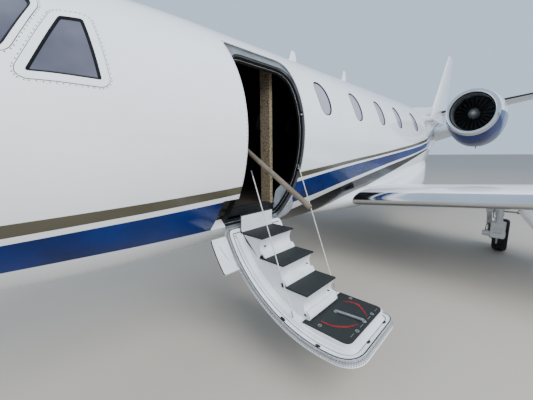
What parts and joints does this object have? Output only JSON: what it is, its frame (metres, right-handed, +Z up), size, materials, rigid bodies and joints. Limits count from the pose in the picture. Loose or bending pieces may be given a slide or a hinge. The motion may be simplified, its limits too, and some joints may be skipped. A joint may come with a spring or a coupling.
{
  "type": "business jet",
  "caption": "Twin-engined business jet on its landing gear, with hollow cabin, airstair door open, turning wheels and fans, steering and hinged controls.",
  "frame": {"origin": "on the ground under the middle of the whole aircraft's length and span", "axes": "+X aft along the centreline, +Y to the aircraft's right side, +Z up"},
  "size_m": [16, 17.17, 5.23],
  "materials": {
    "paint": "gloss",
    "windshield": "clear",
    "window_shade": "satin",
    "carpet": "matt",
    "wood": "gloss",
    "panel_fabric": "woven",
    "dark_panel": "matt",
    "leather": "satin",
    "engine_metal": "brushed",
    "gear_paint": "gloss",
    "tyre": "matt",
    "step_tread": "ribbed",
    "cable": "braided",
    "rail": "satin"
  },
  "bodies": {
    "airframe": {"radome": "paint", "nose_section": "paint", "cabin_shell": "paint", "tail_section": "paint", "belly_fairing": "paint", "fin": "paint", "tailplane": "paint", "wing_left": "paint", "nacelle_left": "paint", "pylon_left": "paint", "main_gear_door_left": "paint", "nose_gear_door_left": "paint", "windshield_left": "windshield", "cockpit_window_left": "windshield", "cabin_windows_left": "window_shade", "engine_left": "engine_metal", "main_leg_left": "gear_paint", "wing_right": "paint", "nacelle_right": "paint", "pylon_right": "paint", "main_gear_door_right": "paint", "nose_gear_door_right": "paint", "windshield_right": "windshield", "cockpit_window_right": "windshield", "cabin_windows_right": "window_shade", "engine_right": "engine_metal", "main_leg_right": "gear_paint", "cabin_floor": "carpet", "cockpit_partition": "wood", "galley_cabinet": "wood", "entry_divider": "panel_fabric", "instrument_panel": "dark_panel", "pilot_seat": "leather", "copilot_seat": "leather", "nose_leg": "gear_paint", "door_cable_forward": "cable", "door_cable_aft": "cable"},
    "entry_door": {"entry_door": "paint", "door_steps": "step_tread"},
    "door_handrail": {"door_handrail": "rail"},
    "nose_steering": {"nose_fork": "gear_paint"},
    "nose_wheel": {"nose_wheel": "gear_paint", "nose_tyre": "tyre"},
    "rudder": {"rudder": "paint"},
    "main_wheel_left": {"main_left_wheel": "gear_paint", "main_left_tyre": "tyre"},
    "fan_left": {"fan_left": "engine_metal"},
    "flap_left": {"flap_left": "paint"},
    "aileron_left": {"aileron_left": "paint"},
    "elevator_left": {"elevator_left": "paint"},
    "main_wheel_right": {"main_right_wheel": "gear_paint", "main_right_tyre": "tyre"},
    "fan_right": {"fan_right": "engine_metal"},
    "flap_right": {"flap_right": "paint"},
    "aileron_right": {"aileron_right": "paint"},
    "elevator_right": {"elevator_right": "paint"}
  },
  "joints": [
    {"name": "entry_door_hinge", "type": "hinge", "parent": "airframe", "child": "entry_door", "pos_m": [-3.95, -0.57449, 1.06], "axis": [-1, 0, 0], "range_deg": [0, 111], "deforming": ["door_cable_forward", "door_cable_aft"]},
    {"name": "handrail_pivot", "type": "hinge", "parent": "airframe", "child": "door_handrail", "pos_m": [-3.895, -0.8, 1.731], "axis": [-1, 0, 0], "range_deg": [0, 157]},
    {"name": "nose_steering", "type": "hinge", "parent": "airframe", "child": "nose_steering", "pos_m": [-5.996, 0, 0.6], "axis": [0, 0, 1], "range_deg": [-60, 60]},
    {"name": "nose_wheel_spin", "type": "hinge", "parent": "nose_steering", "child": "nose_wheel", "pos_m": [-5.996, 0, 0.2285], "axis": [0, 1, 0], "continuous": true},
    {"name": "main_wheel_spin_left", "type": "hinge", "parent": "airframe", "child": "main_wheel_left", "pos_m": [0.684, -2.27, 0.2795], "axis": [0, 1, 0], "continuous": true},
    {"name": "fan_spin_left", "type": "hinge", "parent": "airframe", "child": "fan_left", "pos_m": [2.698, -1.47, 2.566], "axis": [1, 0, 0], "continuous": true},
    {"name": "main_wheel_spin_right", "type": "hinge", "parent": "airframe", "child": "main_wheel_right", "pos_m": [0.684, 2.27, 0.2795], "axis": [0, 1, 0], "continuous": true},
    {"name": "fan_spin_right", "type": "hinge", "parent": "airframe", "child": "fan_right", "pos_m": [2.698, 1.47, 2.566], "axis": [1, 0, 0], "continuous": true},
    {"name": "flap_hinge_left", "type": "hinge", "parent": "airframe", "child": "flap_left", "pos_m": [0.43888, -1.01, 0.99481], "axis": [0.1701, 0.9814, -0.0885], "range_deg": [0, 35]},
    {"name": "flap_hinge_right", "type": "hinge", "parent": "airframe", "child": "flap_right", "pos_m": [0.43888, 1.01, 0.99481], "axis": [-0.1701, 0.9814, 0.0885], "range_deg": [0, 35]},
    {"name": "aileron_hinge_left", "type": "hinge", "parent": "airframe", "child": "aileron_left", "pos_m": [-0.31417, -4.93, 1.35319], "axis": [0.1571, 0.9836, -0.0882], "range_deg": [-20, 20]},
    {"name": "aileron_hinge_right", "type": "hinge", "parent": "airframe", "child": "aileron_right", "pos_m": [-0.31417, 4.93, 1.35319], "axis": [-0.1571, 0.9836, 0.0882], "range_deg": [-20, 20]},
    {"name": "elevator_hinge_left", "type": "hinge", "parent": "airframe", "child": "elevator_left", "pos_m": [7.31232, -0.3, 3.13644], "axis": [-0.0377, 0.9875, -0.1529], "range_deg": [-34, 1]},
    {"name": "elevator_hinge_right", "type": "hinge", "parent": "airframe", "child": "elevator_right", "pos_m": [7.31232, 0.3, 3.13644], "axis": [0.0377, 0.9875, 0.1529], "range_deg": [-34, 1]},
    {"name": "rudder_hinge", "type": "hinge", "parent": "airframe", "child": "rudder", "pos_m": [7.11039, 0, 3.56], "axis": [0.3593, 0, 0.9332], "range_deg": [-25, 25]}
  ],
  "couplings": [
    {"joint": "handrail_pivot", "follows": "entry_door_hinge", "ratio": 1.4144},
    {"joint": "flap_hinge_right", "follows": "flap_hinge_left", "ratio": 1},
    {"joint": "aileron_hinge_right", "follows": "aileron_hinge_left", "ratio": -1},
    {"joint": "elevator_hinge_right", "follows": "elevator_hinge_left", "ratio": 1}
  ]
}
